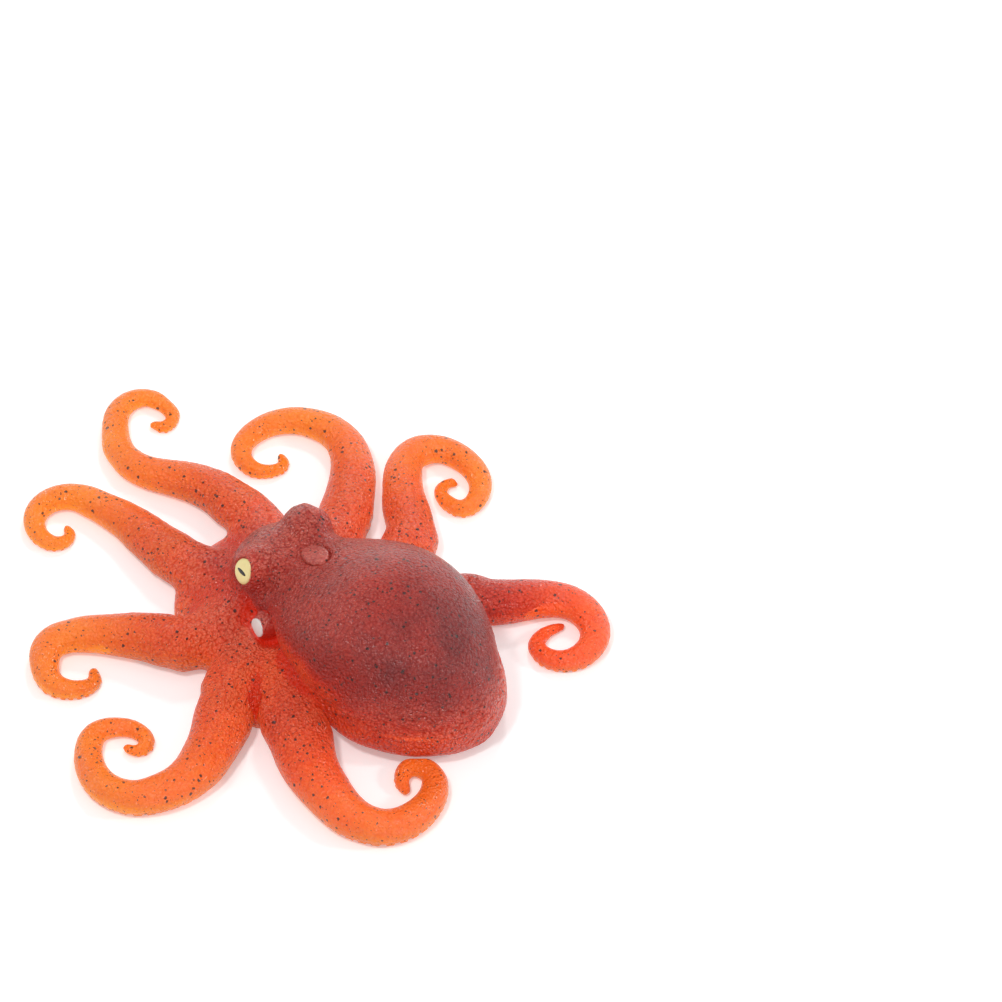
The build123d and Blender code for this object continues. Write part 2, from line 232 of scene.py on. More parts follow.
class PaintSettings(PropertyGroup):
    """Colours of the rubber and of the paint on it, and of its painted highlights, shade and
    glow, as linear values.
    """

    # The palest tone, a painted glow where light seems to pass through thin rubber and flanks
    glow: FloatVectorProperty(
        name="Thin rubber", description="Thin rubber that lets light through",
        subtype="COLOR", size=4, default=(0.98, 0.28, 0.004, 1))
    orange: FloatVectorProperty(
        name="Orange rubber", description="Rubber of the arms",
        subtype="COLOR", size=4, default=(0.96, 0.17, 0.01, 1))
    coral: FloatVectorProperty(
        name="Coral rubber", description="Rubber of the arm roots and the web",
        subtype="COLOR", size=4, default=(1.0, 0.1, 0.012, 1))
    red: FloatVectorProperty(
        name="Red rubber", description="Rubber at the foot of the mantle",
        subtype="COLOR", size=4, default=(0.66, 0.03, 0.008, 1))
    maroon: FloatVectorProperty(
        name="Maroon paint", description="Paint on top of the mantle and the head",
        subtype="COLOR", size=4, default=(0.225, 0.0165, 0.018, 1))
    # Painted highlight: the pale sheen on the crowns of the pebbles that face up
    pebble_highlight: FloatVectorProperty(
        name="Highlight", description="Pale bloom on the tops of the fine pebbles",
        subtype="COLOR", size=4, default=(1.0, 0.36, 0.26, 1))
    pit: FloatVectorProperty(
        name="Pits", description="Shade of the pits between the fine pebbles",
        subtype="COLOR", size=4, default=(0.72, 0.36, 0.3, 1))
    # Painted shade and painted glow, deep red, in the folds
    fold_shade: FloatVectorProperty(
        name="Folds", description="Deep folds, where the rubber glows red",
        subtype="COLOR", size=4, default=(0.62, 0.016, 0.002, 1))
    speck: FloatVectorProperty(
        name="Specks", description="Specks of dark paint",
        subtype="COLOR", size=4, default=(0.03, 0.014, 0.012, 1))
    eye: FloatVectorProperty(
        name="Eye", description="Cream paint of the eyes",
        subtype="COLOR", size=4, default=(1.0, 0.86, 0.4, 1))
    slit: FloatVectorProperty(
        name="Pupil", description="Black paint of the pupils",
        subtype="COLOR", size=4, default=(0.02, 0.02, 0.018, 1))
    mouth: FloatVectorProperty(
        name="Siphon mouth", description="White paint of the siphon's mouth",
        subtype="COLOR", size=4, default=(0.95, 0.93, 0.9, 1))


class StageSettings(PropertyGroup):
    """The floor, the lamps and the camera."""

    floor: FloatVectorProperty(
        name="Floor", description="Colour of the floor",
        subtype="COLOR", size=4, default=(0.9, 0.9, 0.9, 1))
    azimuth: FloatProperty(
        name="Camera azimuth", description="Turn of the camera about Z, in degrees",
        default=132.0)
    elevation: FloatProperty(
        name="Camera elevation", description="Height of the camera, in degrees",
        default=48.0)
    distance: FloatProperty(
        name="Camera distance", description="Distance from the camera to the object",
        default=12.0, unit="LENGTH")
    view_width: FloatProperty(
        name="View width", description="Width that the picture shows at the object",
        default=0.2569, unit="LENGTH", precision=4)


def ahead(heading):
    """The level unit vector along a heading in degrees from X."""
    turn = math.radians(heading)
    return Vector((math.cos(turn), math.sin(turn), 0))


def share_at(table, along):
    """Read a table of (along, share) pairs between its points."""
    for (start, first), (end, second) in zip(table, table[1:]):
        if along <= end:
            return first + (second - first) * (along - start) / (end - start)
    return table[-1][1]


def smooth_step(values, low, high):
    """0 below low, 1 above high and a smooth rise between them."""
    t = np.clip((values - low) / (high - low), 0, 1)
    return t * t * (3 - 2 * t)


def rising(values, low, high):
    """The same smooth rise, between two lengths in millimetres."""
    return smooth_step(values, low * mm, high * mm)


def falling(values, low, high):
    """1 below low millimetres, 0 above high and a smooth fall between them."""
    return 1 - rising(values, low, high)


def near(points, middle, low, high):
    """1 within low millimetres of a place and 0 beyond high."""
    return falling(np.linalg.norm(points - np.array(middle), axis=1), low, high)


def toward(values, target, share):
    """The values moved by a share of the way to a target."""
    return values + (target - values) * share


class Arm:
    """One arm's root, directions and centre line, in metres."""

    def __init__(self, name):
        root_out, bearing, heading, half_width, reach, route = ARMS[name]
        self.name = name
        self.node = "arm_" + name
        self.at_rear = name.endswith("4")
        self.root = root_out * mm * ahead(bearing)
        self.out = ahead(heading)
        self.left = ahead(heading + 90)
        self.half_width = half_width * mm
        self.height = arm_height_share * self.half_width
        self.seam = self.root + far_seams.get(name, seam_out) * self.out
        points = [self.root]
        for forward, leftward in route:
            points.append(self.root + reach * mm * (forward * self.out + leftward * self.left))
        self.line = self.smooth_line(points)
        steps = [(b - a).length for a, b in zip(self.line, self.line[1:])]
        self.length = sum(steps)
        self.run = [0.0]
        for step in steps:
            self.run.append(self.run[-1] + step)

    def smooth_line(self, points):
        """A smooth line through the points of the route."""
        per_span = 10
        before = 2 * points[0] - points[1]
        after = 2 * points[-1] - points[-2]
        padded = [before] + points + [after]
        line = []
        for a, b, c, d in zip(padded, padded[1:], padded[2:], padded[3:]):
            # Handles of a sixth of the neighbours' distance make the spans meet smoothly
            span = interpolate_bezier(b, b + (c - a) / 6, c - (d - b) / 6, c, per_span + 1)
            line.extend(span[:-1])
        line.append(points[-1])
        return line

    def half_width_at(self, distance):
        return self.half_width * share_at(taper_shares, distance / self.length)

    def seat(self, distance):
        """Centre and direction at a distance along the arm."""
        for i, (start, end) in enumerate(zip(self.run, self.run[1:])):
            if distance <= end or i == len(self.run) - 2:
                part = (distance - start) / (end - start)
                centre = self.line[i].lerp(self.line[i + 1], part)
                return centre, (self.line[i + 1] - self.line[i]).normalized()


arms = [Arm(name) for name in ARMS]


def facing_axes(heading, tilt, side=1):
    """The level, upright and outward directions of a piece that faces out and up."""
    slope = math.radians(tilt)
    level = ahead(heading) * math.cos(slope)
    out = Vector((side * level.x, level.y, math.sin(slope)))
    across = up_axis.cross(out).normalized()
    return across, out.cross(across), out


def turret_place(side):
    return Vector((side * turret_middle.x, turret_middle.y, turret_middle.z))


def frame_matrix(across, upright, out, middle):
    turned = Matrix((across, upright, out)).transposed().to_4x4()
    return Matrix.Translation(middle) @ turned


def turn_to(axis):
    """The turn that stands a piece on its own Z along an axis."""
    return up_axis.rotation_difference(axis).to_matrix().to_4x4()


def new_object(name, mesh):
    obj = bpy.data.objects.new(name, mesh)
    bpy.context.scene.collection.objects.link(obj)
    return obj


def mesh_from(bm, name):
    mesh = bpy.data.meshes.new(name)
    bm.to_mesh(mesh)
    bm.free()
    return mesh


def smooth_mesh(bm, name):
    """The bmesh as a mesh that is shaded smooth."""
    mesh = mesh_from(bm, name)
    mesh.polygons.foreach_set("use_smooth", [True] * len(mesh.polygons))
    return mesh


def read_vectors(items, key):
    """One vector of each of a mesh's items, as the rows of an array."""
    flat = np.empty(len(items) * 3, np.float32)
    items.foreach_get(key, flat)
    return flat.reshape(-1, 3)


def put_attribute(mesh, name, values):
    kind = "FLOAT" if values.ndim == 1 else "FLOAT_VECTOR"
    layer = mesh.attributes.new(name, kind, "POINT")
    key = "value" if values.ndim == 1 else "vector"
    layer.data.foreach_set(key, values.astype(np.float32).ravel())


def paint_evenly(mesh, tone, painted_sheen, even):
    """Give a small piece one tone, one painted sheen and one evenness all over."""
    co = read_vectors(mesh.vertices, "co")
    put_attribute(mesh, "place", co)
    for name, value in (("tone", tone), ("painted_sheen", painted_sheen), ("fold_shade", 0.0), ("even", even)):
        put_attribute(mesh, name, np.full(len(co), value))


def new_verts(made):
    return [item for item in made["geom"] if isinstance(item, bmesh.types.BMVert)]


def rim_edges(bm):
    return [edge for edge in bm.edges if edge.is_boundary]


def node_copy(name):
    """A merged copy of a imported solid."""
    bm = bmesh.new()
    bm.from_mesh(frame["nodes"][name].data)
    bmesh.ops.remove_doubles(bm, verts=bm.verts, dist=same_place)
    return bm


def add_mesh(target, source):
    """Put a copy of one bmesh into another."""
    mesh = mesh_from(source, "part")
    target.from_mesh(mesh)
    bpy.data.meshes.remove(mesh)


def add_nodes(target, *names):
    for name in names:
        add_mesh(target, node_copy(name))


def solids_tree(*names):
    """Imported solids, to measure distances from."""
    bm = bmesh.new()
    add_nodes(bm, *names)
    tree = BVHTree.FromBMesh(bm)
    bm.free()
    return tree


def tree_of(mesh):
    """A mesh's faces, to measure distances from."""
    return BVHTree.FromPolygons([v.co for v in mesh.vertices],
                                [p.vertices for p in mesh.polygons])


def arm_with_stub(arm):
    """An arm's solid, made longer at its root so that it reaches into the ring."""
    stub_length = 2.6 * mm
    facing_ring = -0.999
    at_root = 0.02 * mm
    bm = node_copy(arm.node)
    butt = [f for f in bm.faces
            if f.normal.dot(arm.out) < facing_ring
            and abs((f.calc_center_median() - arm.root).dot(arm.out)) < at_root]
    moved = new_verts(bmesh.ops.extrude_face_region(bm, geom=butt))
    bmesh.ops.translate(bm, verts=moved, vec=-stub_length * arm.out)
    return bm


def mantle_groups(verts, arm, start, tree, reach):
    """The points near the mantle: those at the arm's root, and those of its curl."""
    root_breadth = 1.6 * arm.half_width
    root_length = 24 * mm
    root = []
    curl = []
    for vert in verts:
        past = (vert.co - start).dot(arm.out)
        beside = abs((vert.co - start).dot(arm.left))
        place, _, _, distance = tree.find_nearest(vert.co, reach)
        if place is None or past < 0.1 * mm:
            continue
        group = root if beside < root_breadth and past < root_length else curl
        group.append((vert, place, distance, past))
    return root, curl


def slide_curl(verts, curl, wanted):
    """Move a curl as a whole until its closest point is as far off the mantle as wanted."""
    vert, place, distance, _ = min(curl, key=lambda row: row[2])
    middle = vert.co.copy()
    away = (middle - place) * Vector((1, 1, 0))
    away = away.normalized() * (wanted - distance)
    for vert in verts:
        fade = falling((vert.co - middle).length, 9, 22)
        vert.co += away * float(fade)


def keep_off_mantle(bm, arm, tree):
    """Hold a rear arm far enough from the mantle for the skin to pass between them."""
    clear = 1.6 * mm
    first_cut, cut_step, cuts = 0.2, 0.7, 40
    full_past = 0.9 * mm
    for index in range(cuts):
        cut = arm.root + (first_cut + cut_step * index) * mm * arm.out
        geometry = list(bm.verts) + list(bm.edges) + list(bm.faces)
        bmesh.ops.bisect_plane(bm, geom=geometry, dist=on_plane, plane_co=cut,
                               plane_no=arm.out)
    # The curl is looked at twice, because another of its points may then be the closest
    for _ in range(2):
        curl = mantle_groups(bm.verts, arm, arm.root, tree, clear)[1]
        if curl:
            slide_curl(bm.verts, curl, clear)
    for vert, place, distance, past in mantle_groups(bm.verts, arm, arm.root, tree, clear)[0]:
        share = min(1.0, past / full_past)
        vert.co += (vert.co - place).normalized() * (clear - distance) * share


def spun(profile, steps, merge_distance):
    """A half section of (out, up) pairs, spun about Z."""
    bm = bmesh.new()
    verts = [bm.verts.new((x, 0, z)) for x, z in profile]
    edges = [bm.edges.new(pair) for pair in zip(verts, verts[1:])]
    bmesh.ops.spin(bm, geom=verts + edges, cent=(0, 0, 0), axis=(0, 0, 1),
                   angle=math.tau, steps=steps, use_merge=True)
    bmesh.ops.remove_doubles(bm, verts=bm.verts, dist=merge_distance)
    return bm


def web_filler():
    """A low cone that closes the narrow slots between the web and the arms."""
    profile = [Vector(pair) * mm for pair in web_profile]
    bm = spun(profile, 96, same_place)
    bmesh.ops.recalc_face_normals(bm, faces=bm.faces)
    return bm


def ball(middle, radii, turn=None):
    """A smooth closed ellipsoid."""
    bm = bmesh.new()
    bmesh.ops.create_icosphere(bm, subdivisions=4, radius=1.0)
    bmesh.ops.scale(bm, verts=bm.verts, vec=radii)
    placed = Matrix.Translation(middle)
    if turn is not None:
        placed = placed @ turn.to_4x4()
    bmesh.ops.transform(bm, verts=bm.verts, matrix=placed)
    return bm


def modified(obj, kind, **values):
    """The object's mesh with one modifier applied; the object goes."""
    modifier = obj.modifiers.new(kind.title(), kind)
    for key, value in values.items():
        setattr(modifier, key, value)
    graph = bpy.context.evaluated_depsgraph_get()
    mesh = bpy.data.meshes.new_from_object(obj.evaluated_get(graph))
    bpy.data.objects.remove(obj)
    return mesh


def siphon_hollow():
    """The hollow between the mantle and the arms that the siphon lies in."""
    across, upright, out = facing_axes(*siphon_facing)
    turn = Matrix((across, upright, out)).transposed()
    forward, aside, above = 0.4 * mm, 2.6 * mm, 0.9 * mm
    middle = siphon_middle + forward * out + aside * across + above * upright
    return ball(middle, Vector((6.2, 4.9, 5.2)) * mm, turn)


def grown_mesh(mesh_size):
    """One closed mesh over the trunk and the arms."""
    bm = bmesh.new()
    add_nodes(bm, "mantle_dome", "mantle_rim", "arm_ring", "head")
    tree = solids_tree("mantle_dome", "mantle_rim")
    for arm in arms:
        limb = arm_with_stub(arm)
        if arm.at_rear:
            keep_off_mantle(limb, arm, tree)
        add_mesh(bm, limb)
    add_mesh(bm, web_filler())
    for middle, radii in neck_balls:
        add_mesh(bm, ball(Vector(middle) * mm, Vector(radii) * mm))
    turn = Matrix.Rotation(math.radians(wedge_turn), 3, "Z")
    for distance, bearing, height, radii in wedge_balls:
        middle = distance * mm * ahead(bearing) + Vector((0, 0, height * mm))
        add_mesh(bm, ball(middle, Vector(radii) * mm, turn))
    rough = new_object("rough", mesh_from(bm, "rough"))
    solid = new_object("solid", modified(rough, "REMESH", mode="VOXEL", voxel_size=mesh_size))
    hollow = new_object("hollow", mesh_from(siphon_hollow(), "hollow"))
    carved = modified(solid, "BOOLEAN", operation="DIFFERENCE", object=hollow, solver="EXACT")
    bpy.data.objects.remove(hollow)
    bm = bmesh.new()
    bm.from_mesh(carved)
    add_nodes(bm, "siphon")
    rough = new_object("rough", mesh_from(bm, "rough"))
    return modified(rough, "REMESH", mode="VOXEL", voxel_size=mesh_size)


class Surface:
    """The skin's points, edges and normals as arrays."""

    def __init__(self, mesh):
        self.mesh = mesh
        self.co = read_vectors(mesh.vertices, "co").astype(float)
        self.edges = np.empty(len(mesh.edges) * 2, np.int32)
        mesh.edges.foreach_get("vertices", self.edges)
        self.edges = self.edges.reshape(-1, 2)
        count = len(self.co)
        self.valence = np.bincount(self.edges.ravel(), minlength=count).astype(float)
        self.valence = np.maximum(self.valence, 1)
        self.normals = None
        self.read_normals()

    def read_normals(self):
        """Write the points to the mesh and read its normals there."""
        self.mesh.vertices.foreach_set("co", self.co.astype(np.float32).ravel())
        self.mesh.update()
        self.normals = read_vectors(self.mesh.vertex_normals, "vector").astype(float)

    def spread(self, values):
        """The mean of each point's neighbours, for one or three values a point."""
        a, b = self.edges[:, 0], self.edges[:, 1]
        count = len(self.co)
        if values.ndim == 1:
            total = np.bincount(a, values[b], count) + np.bincount(b, values[a], count)
            return total / self.valence
        return np.stack([self.spread(values[:, k]) for k in range(3)], 1)

    def relax(self, passes, weight, hollows_only=False):
        """Move points towards their neighbours' mean, or only fill hollows."""
        passes_per_reading = 6
        for index in range(passes):
            step = self.spread(self.co) - self.co
            share = weight
            if hollows_only:
                if index % passes_per_reading == 0:
                    self.read_normals()
                rise = np.einsum("ij,ij->i", step, self.normals)
                share = weight * rising(rise, -0.002, 0.004)
            self.co += step * share[:, None]
        self.read_normals()


def fillet_weights(co):
    """Where the pieces flow into each other: most round the head, least at the mantle."""
    x, y, z = co.T
    head = near(co, head_middle, 19, 27)
    crown = falling(y, 9, 17) * rising(z, 15, 19)
    head = head * np.maximum(falling(y, 5, 11), crown)
    web = 0.5 * falling(np.hypot(x, y), 31, 35) * falling(y, 14, 20) * falling(z, 11, 14)
    ledge = 0.8 * mantle_share(co) * rising(z, 4, 6) * falling(z, 13, 16) * rising(y, 20, 30)
    keep = 1 - near(co, plug_middle, 5.2, 6.5)
    for side, held in ((-1, 1.0), (1, 0.85)):
        middle = turret_place(side)
        disc = middle + turret_radius * facing_axes(*eye_facing, side)[2]
        keep *= 1 - held * near(co, middle, 7.0, 8.6)
        keep *= 1 - near(co, disc, 3.6, 4.6)
    rounding = np.maximum(head, np.maximum(web, ledge))
    return rounding * (1 - near(co, siphon_middle, 5.5, 8)) * keep


def arm_places(co):
    """For each point, the nearest arm, the share along it and the distance past its root."""
    tree = KDTree(sum(len(arm.line) for arm in arms))
    rows = []
    for index, arm in enumerate(arms):
        for place, run in zip(arm.line, arm.run):
            tree.insert(place, len(rows))
            rows.append((index, run / arm.length))
    tree.balance()
    found = np.array(rows)[[tree.find((x, y, 0))[1] for x, y, _ in co]]
    which = found[:, 0].astype(int)
    roots = np.array([arm.root for arm in arms])
    outs = np.array([arm.out for arm in arms])
    past = np.einsum("ij,ij->i", co - roots[which], outs[which])
    return which, found[:, 1], past


def pebbles(co, size):
    """A grain of rounded bumps between -1 and 1."""
    scale = 1 / size
    steepness = 1.6
    out = np.empty(len(co))
    for i, (x, y, z) in enumerate(co):
        distances = noise.voronoi((x * scale, y * scale, z * scale))[0]
        out[i] = distances[1] - distances[0]
    return np.clip(out * steepness, 0, 1) * 2 - 1


def soft_noise(co, size, seed):
    """Smooth noise between -1 and 1."""
    scale = 1 / size
    return np.array([noise.noise((x * scale + seed, y * scale, z * scale)) for x, y, z in co])


def near_mantle(co):
    """1 on the rear of the mantle's solids and 0 away from them."""
    tree = solids_tree("mantle_dome", "mantle_rim")
    far = 2 * mm
    distance = np.full(len(co), far)
    for i in np.flatnonzero(co[:, 1] > 20 * mm):
        found = tree.find_nearest(co[i], far)[3]
        if found is not None:
            distance[i] = found
    return falling(distance, 0.35, 0.7)


def mantle_share(co):
    """1 on the mantle and 0 elsewhere, by the mantle's outline seen from above."""
    width = np.interp(co[:, 1] / mm, *zip(*mantle_outline)) * mm
    inside = falling(np.abs(co[:, 0]) - width, -1.0, 0.6)
    return inside * rising(co[:, 1], 1, 6)


def paint_skin(surface, co, normals, places):
    """Tone, painted sheen and evenness of the paint as attributes."""
    x, y, z = co.T
    which, along, past_root = places
    on_arm = (along > 0.02) & (past_root > 0)
    up = normals[:, 2]
    reach = np.hypot(x, y)
    rear = rising(y, 34, 44)
    mantle = np.maximum(mantle_share(co), rear * near_mantle(co))
    off_mantle = 1 - mantle
    siphon = near(co, siphon_middle, 4.5, 5.5)

    # Redder at the ring and paler out along the arms, each with its own shift
    tone = ring_tone - 0.14 * rising(reach, 14, 40)
    shift = np.array([tone_and_shade_shifts[arm.name] for arm in arms])[which]
    arm_tone = arm_root_tone - 0.3 * smooth_step(along, 0.0, 0.55) + shift
    tone += shift * rising(past_root, -14, 0)
    tone = np.where(on_arm, np.minimum(tone, arm_tone + 0.02), tone)
    # Flanks are painted paler, a painted glow of light through the rubber, and the tops of the
    # head and the mantle are painted maroon
    painted_flank_glow = 1 - smooth_step(up, -0.1, 0.75)
    tone = tone - 0.16 * painted_flank_glow * np.where(reach > 24 * mm, 1, 0.3)
    # Painted shade on the up-facing ridge of the brow
    brow_shade = near(co, brow_middle, 5, 15) * smooth_step(up, 0.2, 0.9)
    tone = toward(tone, brow_shade_tone, 0.5 * brow_shade)
    tone = toward(tone, head_tone, near(co, head_middle, 17, 26) * rising(z, 9, 20))
    # Maroon paint rises with height; its further rise towards the rear of the mantle is painted
    # shade
    rise = 0.75 * rising(z, 8, 27) + 0.25 * rising(y, 30, 60)
    mantle_tone = mantle_foot_tone + 0.3 * rise * rising(z, 6, 18)
    tone = toward(tone, mantle_tone, mantle)
    tone = toward(tone, siphon_tone, 0.8 * siphon)
    tone = tone + 0.05 * soft_noise(co, 9 * mm, 3.0)
    put_attribute(surface.mesh, "tone", np.clip(tone, 0, 1))

    # Painted sheen lies on what faces up, and fades along the arms and at the mantle's rear; a
    # painted highlight is added low on the mantle's rear
    painted_sheen = smooth_step(up, 0.1, 0.95) * (1 - 0.5 * mantle)
    painted_sheen *= 1 - 0.85 * smooth_step(along, 0.02, 0.25) * on_arm * off_mantle
    painted_sheen *= 1 - 0.5 * rising(reach, 22, 34) * off_mantle
    painted_sheen *= 1 - 0.7 * mantle * rising(y, 22, 44)
    low_rear_highlight = mantle * rising(y, 34, 52) * rising(z, 8, 11) * falling(z, 16, 23)
    put_attribute(surface.mesh, "painted_sheen", np.maximum(painted_sheen, 0.75 * low_rear_highlight))

    # The skin is smoother out along the arms and on the siphon
    even = 0.5 * smooth_step(along, 0.06, 0.4) * on_arm * off_mantle
    even = np.maximum(even, 0.7 * near(co, siphon_middle, 4.5, 6))
    put_attribute(surface.mesh, "even", even)


def wrinkles(co):
    """Level ripples low on the rear of the mantle, between -1 and 1."""
    _, y, z = co.T
    place = mantle_share(co) * rising(z, 9, 11)
    place *= falling(z, 15, 21) * rising(y, 26, 44)
    stretched = co * np.array([0.4, 0.4, 1.0])
    return place * 1.6 * soft_noise(stretched, 1.25 * mm, 5.0)


def furrow(co):
    """1 along the furrow between the shoulders of left_3 and left_4, 0 beside it."""
    start, end = (np.array(point) * mm for point in furrow_ends)
    span = end - start
    local = co[:, :2] - start
    along = np.clip(local @ span / (span @ span), 0, 1)
    away = np.linalg.norm(local - along[:, None] * span, axis=1)
    return np.exp(-(away / furrow_width) ** 2) * rising(co[:, 2], 1.5, 4)


def seat_eyes(surface):
    """Press a flat seat into each turret for its eye, with a low lid round its top."""
    seat_depth = 0.6 * mm
    lid_height = 0.2 * mm
    for side in (1, -1):
        across, upright, out = (np.array(axis) for axis in facing_axes(*eye_facing, side))
        local = surface.co - np.array(turret_place(side))
        height = local @ upright
        oval = np.hypot(local @ across / eye_half_width, height / eye_half_height)
        seat = (1 - smooth_step(oval, 0.93, 1.03)) * (local @ out > 4 * mm)
        surface.co -= (seat * seat_depth)[:, None] * out
        lid = smooth_step(oval, 1.0, 1.08) * (1 - smooth_step(oval, 1.15, 1.6))
        lid *= rising(height, -0.5, 2) * (local @ out > 2 * mm)
        surface.co += (lid * lid_height)[:, None] * out


def whole_skin(settings):
    """The finished skin in one piece, with its attributes."""
    surface = Surface(grown_mesh(settings.mesh_size))
    # Fillets first, then a soft rounding of all hollows, and last the steps of the remesh
    surface.relax(settings.fillet_passes, fillet_weights(surface.co), hollows_only=True)
    surface.relax(14, np.full(len(surface.co), 0.55), hollows_only=True)
    surface.relax(5, np.full(len(surface.co), 0.6))
    smooth_co = surface.co.copy()
    smooth_normals = surface.normals.copy()
    places = arm_places(smooth_co)
    _, along, past = places

    sole = smooth_step(-smooth_normals[:, 2], 0.5, 0.95) * rising(past, 2, 8)
    surface.co[:, 2] += settings.sole_hollow * sole
    grain = pebbles(surface.co, settings.pebble_size)
    swell = soft_noise(surface.co, 5 * mm, 11.0)
    fine = smooth_step(along, 0.15, 0.6) * rising(past, 0, 6)
    fine = 1 - 0.55 * fine * (1 - mantle_share(smooth_co))
    height = settings.pebble_height * (0.4 * grain + 0.8 * swell) * fine
    height += settings.pebble_height * 4.4 * wrinkles(surface.co)
    crease = furrow(surface.co)
    height -= furrow_depth * crease
    surface.co += surface.normals * height[:, None]
    seat_eyes(surface)
    inside_box = 0.02 * mm
    top = cad_box[1][2] - inside_box
    surface.co[:, 2] = np.clip(surface.co[:, 2], inside_box, top)
    surface.read_normals()
    paint_skin(surface, smooth_co, smooth_normals, places)

    # A point lies in a fold where its surroundings rise above it, seen over a wide patch; folds
    # and the furrow get painted shade and painted glow
    patch_passes = 24
    lift = np.einsum("ij,ij->i", surface.spread(surface.spread(smooth_co)) - smooth_co,
                     smooth_normals)
    for _ in range(patch_passes):
        lift = surface.spread(lift)
    fold_shade = rising(lift, 0.0015, 0.012) * falling(smooth_co[:, 2], 19, 24)
    put_attribute(surface.mesh, "fold_shade", np.maximum(fold_shade, 0.2 * crease))
    put_attribute(surface.mesh, "place", surface.co)
    put_attribute(surface.mesh, "whole_normal", surface.normals)
    return surface.mesh


def joined_faces(first, allowed=None):
    """All faces joined to one face, or those of them that are allowed, in a fixed order."""
    found = {first: True}
    waiting = [first]
    while waiting:
        for edge in waiting.pop().edges:
            for face in edge.link_faces:
                if face not in found and (allowed is None or face in allowed):
                    found[face] = True
                    waiting.append(face)
    return list(found)


def crossing_loop(bm, arm):
    """The closed band of faces round one arm that its seam's plane crosses."""
    reach = 2.0 * arm.half_width
    crossing = {}
    for face in bm.faces:
        if (face.verts[0].co - arm.seam).length > reach:
            continue
        sides = [(v.co - arm.seam).dot(arm.out) > 0 for v in face.verts]
        if any(sides) and not all(sides):
            crossing[face] = True
    top = arm.seam + Vector((0, 0, arm.height))
    first = min(crossing, key=lambda f: (f.calc_center_median() - top).length)
    return joined_faces(first, crossing)


def cut_loose(bm, arm):
    """Split the skin all round one arm at its seam."""
    band = crossing_loop(bm, arm)
    geometry = dict.fromkeys(band)
    for face in band:
        geometry.update(dict.fromkeys(face.edges))
        geometry.update(dict.fromkeys(face.verts))
    made = bmesh.ops.bisect_plane(bm, geom=list(geometry), dist=on_plane,
                                  plane_co=arm.seam, plane_no=arm.out)
    edges = [e for e in made["geom_cut"] if isinstance(e, bmesh.types.BMEdge)]
    bmesh.ops.split_edges(bm, edges=edges)


def mark_island(bm, layer, place, mark):
    """Mark all faces joined to the face nearest to a place."""
    first = min(bm.faces, key=lambda f: (f.verts[0].co - place).length_squared)
    for face in joined_faces(first):
        face[layer] = mark


def keep_island(bm, mark):
    """A copy of one island of the cut skin."""
    part = bm.copy()
    layer = part.faces.layers.int["island"]
    others = [f for f in part.faces if f[layer] != mark]
    bmesh.ops.delete(part, geom=others, context="FACES")
    return part


def closed_piece(bm, name):
    """Cap a cut skin and give it the normals it had in one piece."""
    caps = bmesh.ops.holes_fill(bm, edges=rim_edges(bm), sides=0)["faces"]
    caps = bmesh.ops.triangulate(bm, faces=caps)["faces"]
    bm.faces.index_update()
    flat = {face.index for face in caps}
    mesh = smooth_mesh(bm, name)
    of_vertex = np.empty(len(mesh.loops), np.int32)
    mesh.loops.foreach_get("vertex_index", of_vertex)
    stored = mesh.attributes["whole_normal"]
    normals = read_vectors(stored.data, "vector")[of_vertex]
    for index in flat:
        polygon = mesh.polygons[index]
        for loop in polygon.loop_indices:
            normals[loop] = polygon.normal
    mesh.normals_split_custom_set(normals.tolist())
    mesh.attributes.remove(mesh.attributes["whole_normal"])
    return mesh


def lean_on_mantle(bm, arm, tree):
    """Bring a rear arm's root, and its curl, up to the mantle that they lie against."""
    gap = 0.2 * mm
    reach = 6 * mm
    leans_within = 2.5 * mm
    full_past = 3 * mm
    start = arm.seam + 0.4 * mm * arm.out
    root, curl = mantle_groups(bm.verts, arm, start, tree, reach)
    closest = min((row[2] for row in root), default=reach)
    if closest < leans_within:
        for vert, place, distance, past in root:
            fade = 1 - smooth_step(distance, closest, reach)
            share = min(1.0, past / full_past)
            vert.co += (place - vert.co).normalized() * (closest - gap) * share * float(fade)
    if min((row[2] for row in curl), default=reach) < leans_within:
        slide_curl(bm.verts, curl, gap)


def cup_template():
    """A sucker of unit radius as a mesh: a rounded rim round a hollow."""
    bm = spun(cup_profile, 10, 0.0001)
    bmesh.ops.holes_fill(bm, edges=rim_edges(bm), sides=0)
    bmesh.ops.recalc_face_normals(bm, faces=bm.faces)
    return mesh_from(bm, "cup")


def sucker_mesh(arm, tree, template):
    """Two rows of suckers under one arm, smaller towards the tip."""
    first_share, last_share = 0.2, 0.97
    lean_at_root, more_lean_outside = 46, 26
    middle_share = 0.42
    spacing_in_radii = 2.12
    above_floor = 0.03 * mm
    bm = bmesh.new()
    directions = [(b - a).normalized() for a, b in zip(arm.line, arm.line[1:])]
    bend = sum(a.cross(b).z for a, b in zip(directions, directions[1:]))
    outer_side = -1 if bend > 0 else 1
    for side in (-1, 1):
        run = first_share * arm.length
        while run < last_share * arm.length:
            centre, direction = arm.seat(run)
            half_width = arm.half_width_at(run)
            radius = 0.21 * half_width + 0.18 * mm
            lean = lean_at_root
            if side == outer_side:
                lean += more_lean_outside * (run / arm.length)
            left = Vector((-direction.y, direction.x, 0))
            angle = math.radians(lean)
            down_out = side * math.sin(angle) * left - math.cos(angle) * up_axis
            start = centre + Vector((0, 0, middle_share * arm_height_share * half_width))
            place = tree.ray_cast(start, down_out)[0]
            if place is not None:
                before = len(bm.verts)
                bm.from_mesh(template)
                bm.verts.ensure_lookup_table()
                placed = (Matrix.Translation(place) @ turn_to(down_out)
                          @ Matrix.Scale(radius, 4))
                bmesh.ops.transform(bm, verts=bm.verts[before:], matrix=placed)
            run += spacing_in_radii * radius
    for vert in bm.verts:
        vert.co.z = max(vert.co.z, above_floor)
    return bm


